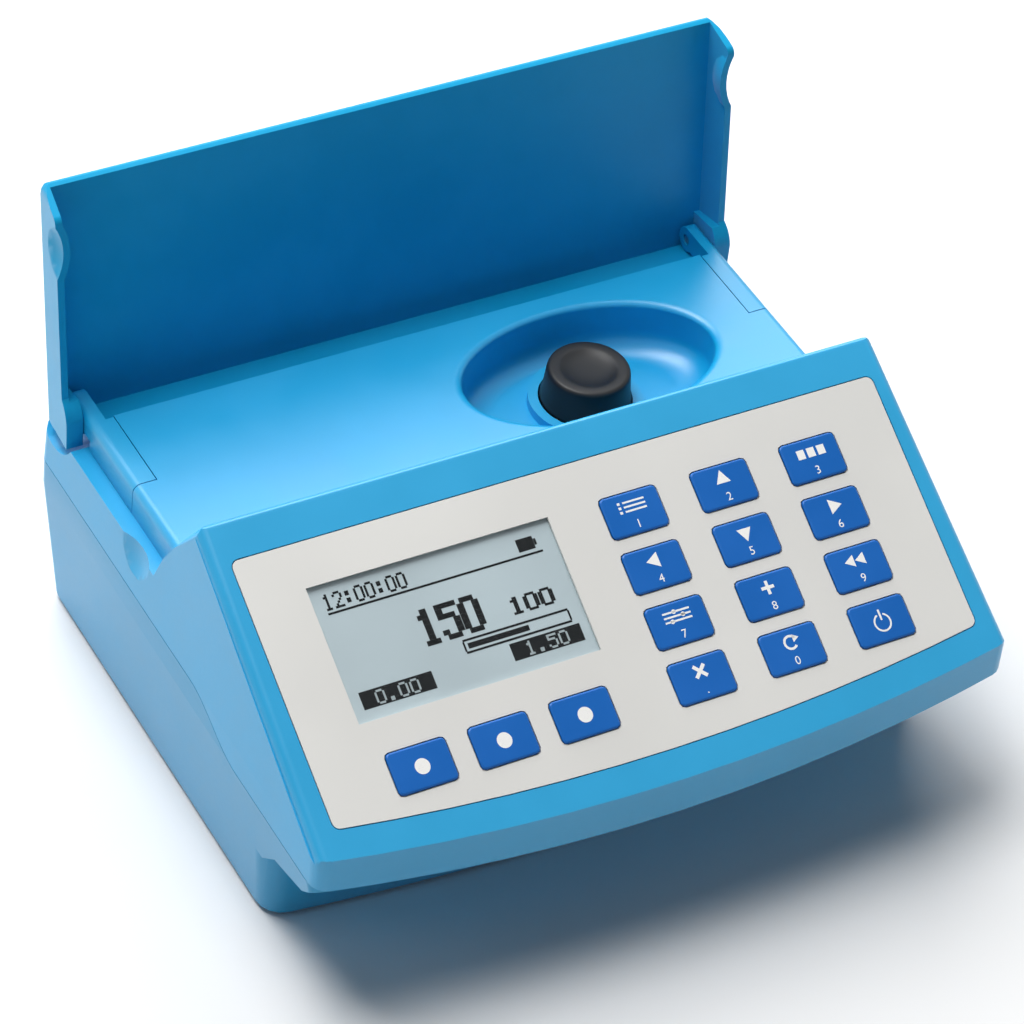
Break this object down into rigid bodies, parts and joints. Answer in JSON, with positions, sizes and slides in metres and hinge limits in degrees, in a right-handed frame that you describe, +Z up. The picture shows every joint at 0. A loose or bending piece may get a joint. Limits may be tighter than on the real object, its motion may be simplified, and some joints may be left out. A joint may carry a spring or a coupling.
{
  "type": "benchtop photometer",
  "caption": "Wedge-shaped benchtop photometer: sloping keypad and display in front, hinged lid behind over an oval well that holds a capped glass cuvette.",
  "frame": {"origin": "middle of the footprint of the instrument with its lid open, on the surface it stands on", "axes": "+X to the right as seen from the front, +Y from the control panel towards the lid's hinge, +Z up"},
  "size_m": [0.206, 0.1842, 0.1365],
  "materials": {
    "upper_blue": "moulded, satin light blue",
    "base_blue": "moulded, satin grey blue",
    "bracket_blue": "moulded, satin",
    "lid_blue": "tinted moulded blue",
    "overlay_grey": "printed polyester film",
    "window_clear": "clear sheet",
    "display_grey": "liquid crystal glass",
    "sheet_white": "film",
    "key_blue": "embossed, satin",
    "board_green": "solder mask",
    "steel": "plain",
    "black_plastic": "moulded",
    "dark_plastic": "moulded, satin",
    "cuvette_glass": "clear, polished",
    "optic_glass": "clear, polished",
    "rubber": "plain",
    "battery_wrap": "heat-shrunk film"
  },
  "bodies": {
    "case": {"upper_shell": "upper_blue", "lower_shell": "base_blue", "hinge_bracket_right": "bracket_blue", "hinge_bracket_left": "bracket_blue", "hinge_pin_right": "steel", "hinge_pin_left": "steel", "panel_overlay": "overlay_grey", "display_window": "window_clear", "display_module": "display_grey", "key_contact_sheet": "sheet_white", "main_board": "board_green", "board_screw_1": "steel", "board_screw_2": "steel", "board_screw_3": "steel", "board_screw_4": "steel", "optical_block": "black_plastic", "lamp_board": "board_green", "detector_board": "board_green", "lamp_lens": "optic_glass", "detector_filter": "optic_glass", "battery": "battery_wrap", "battery_strap": "steel", "socket_board": "board_green", "usb_socket": "steel", "power_socket": "steel", "probe_jack": "black_plastic", "case_screw_1": "steel", "case_screw_2": "steel", "case_screw_3": "steel", "case_screw_4": "steel", "foot_front_left": "rubber", "foot_front_right": "rubber", "foot_rear_left": "rubber", "foot_rear_right": "rubber"},
    "lid": {"lid": "lid_blue"},
    "cuvette": {"cuvette": "cuvette_glass"},
    "cap": {"cuvette_cap": "dark_plastic"},
    "key_row1_left": {"key_row1_left": "key_blue"},
    "key_row1_middle": {"key_row1_middle": "key_blue"},
    "key_row1_right": {"key_row1_right": "key_blue"},
    "key_row2_left": {"key_row2_left": "key_blue"},
    "key_row2_middle": {"key_row2_middle": "key_blue"},
    "key_row2_right": {"key_row2_right": "key_blue"},
    "key_row3_left": {"key_row3_left": "key_blue"},
    "key_row3_middle": {"key_row3_middle": "key_blue"},
    "key_row3_right": {"key_row3_right": "key_blue"},
    "key_row4_left": {"key_row4_left": "key_blue"},
    "key_row4_middle": {"key_row4_middle": "key_blue"},
    "key_row4_right": {"key_row4_right": "key_blue"},
    "soft_key_left": {"soft_key_left": "key_blue"},
    "soft_key_middle": {"soft_key_middle": "key_blue"},
    "soft_key_right": {"soft_key_right": "key_blue"}
  },
  "joints": [
    {"name": "lid_hinge", "type": "hinge", "parent": "case", "child": "lid", "pos_m": [0, 0.07639, 0.0706], "axis": [-1, 0, 0], "range_deg": [-97.9, 0]},
    {"name": "cuvette_lift", "type": "slide", "parent": "case", "child": "cuvette", "axis": [0, 0, 1], "range_m": [0, 0.062]},
    {"name": "cap_pull", "type": "slide", "parent": "cuvette", "child": "cap", "axis": [0, 0, 1], "range_m": [0, 0.012]},
    {"name": "key_row1_left_press", "type": "slide", "parent": "case", "child": "key_row1_left", "axis": [0, 0.4894, -0.8721], "range_m": [0, 0.0004], "stiffness_N_per_m": 2500},
    {"name": "key_row1_middle_press", "type": "slide", "parent": "case", "child": "key_row1_middle", "axis": [0, 0.4894, -0.8721], "range_m": [0, 0.0004], "stiffness_N_per_m": 2500},
    {"name": "key_row1_right_press", "type": "slide", "parent": "case", "child": "key_row1_right", "axis": [0, 0.4894, -0.8721], "range_m": [0, 0.0004], "stiffness_N_per_m": 2500},
    {"name": "key_row2_left_press", "type": "slide", "parent": "case", "child": "key_row2_left", "axis": [0, 0.4894, -0.8721], "range_m": [0, 0.0004], "stiffness_N_per_m": 2500},
    {"name": "key_row2_middle_press", "type": "slide", "parent": "case", "child": "key_row2_middle", "axis": [0, 0.4894, -0.8721], "range_m": [0, 0.0004], "stiffness_N_per_m": 2500},
    {"name": "key_row2_right_press", "type": "slide", "parent": "case", "child": "key_row2_right", "axis": [0, 0.4894, -0.8721], "range_m": [0, 0.0004], "stiffness_N_per_m": 2500},
    {"name": "key_row3_left_press", "type": "slide", "parent": "case", "child": "key_row3_left", "axis": [0, 0.4894, -0.8721], "range_m": [0, 0.0004], "stiffness_N_per_m": 2500},
    {"name": "key_row3_middle_press", "type": "slide", "parent": "case", "child": "key_row3_middle", "axis": [0, 0.4894, -0.8721], "range_m": [0, 0.0004], "stiffness_N_per_m": 2500},
    {"name": "key_row3_right_press", "type": "slide", "parent": "case", "child": "key_row3_right", "axis": [0, 0.4894, -0.8721], "range_m": [0, 0.0004], "stiffness_N_per_m": 2500},
    {"name": "key_row4_left_press", "type": "slide", "parent": "case", "child": "key_row4_left", "axis": [0, 0.4894, -0.8721], "range_m": [0, 0.0004], "stiffness_N_per_m": 2500},
    {"name": "key_row4_middle_press", "type": "slide", "parent": "case", "child": "key_row4_middle", "axis": [0, 0.4894, -0.8721], "range_m": [0, 0.0004], "stiffness_N_per_m": 2500},
    {"name": "key_row4_right_press", "type": "slide", "parent": "case", "child": "key_row4_right", "axis": [0, 0.4894, -0.8721], "range_m": [0, 0.0004], "stiffness_N_per_m": 2500},
    {"name": "soft_key_left_press", "type": "slide", "parent": "case", "child": "soft_key_left", "axis": [0, 0.4894, -0.8721], "range_m": [0, 0.0004], "stiffness_N_per_m": 2500},
    {"name": "soft_key_middle_press", "type": "slide", "parent": "case", "child": "soft_key_middle", "axis": [0, 0.4894, -0.8721], "range_m": [0, 0.0004], "stiffness_N_per_m": 2500},
    {"name": "soft_key_right_press", "type": "slide", "parent": "case", "child": "soft_key_right", "axis": [0, 0.4894, -0.8721], "range_m": [0, 0.0004], "stiffness_N_per_m": 2500}
  ]
}
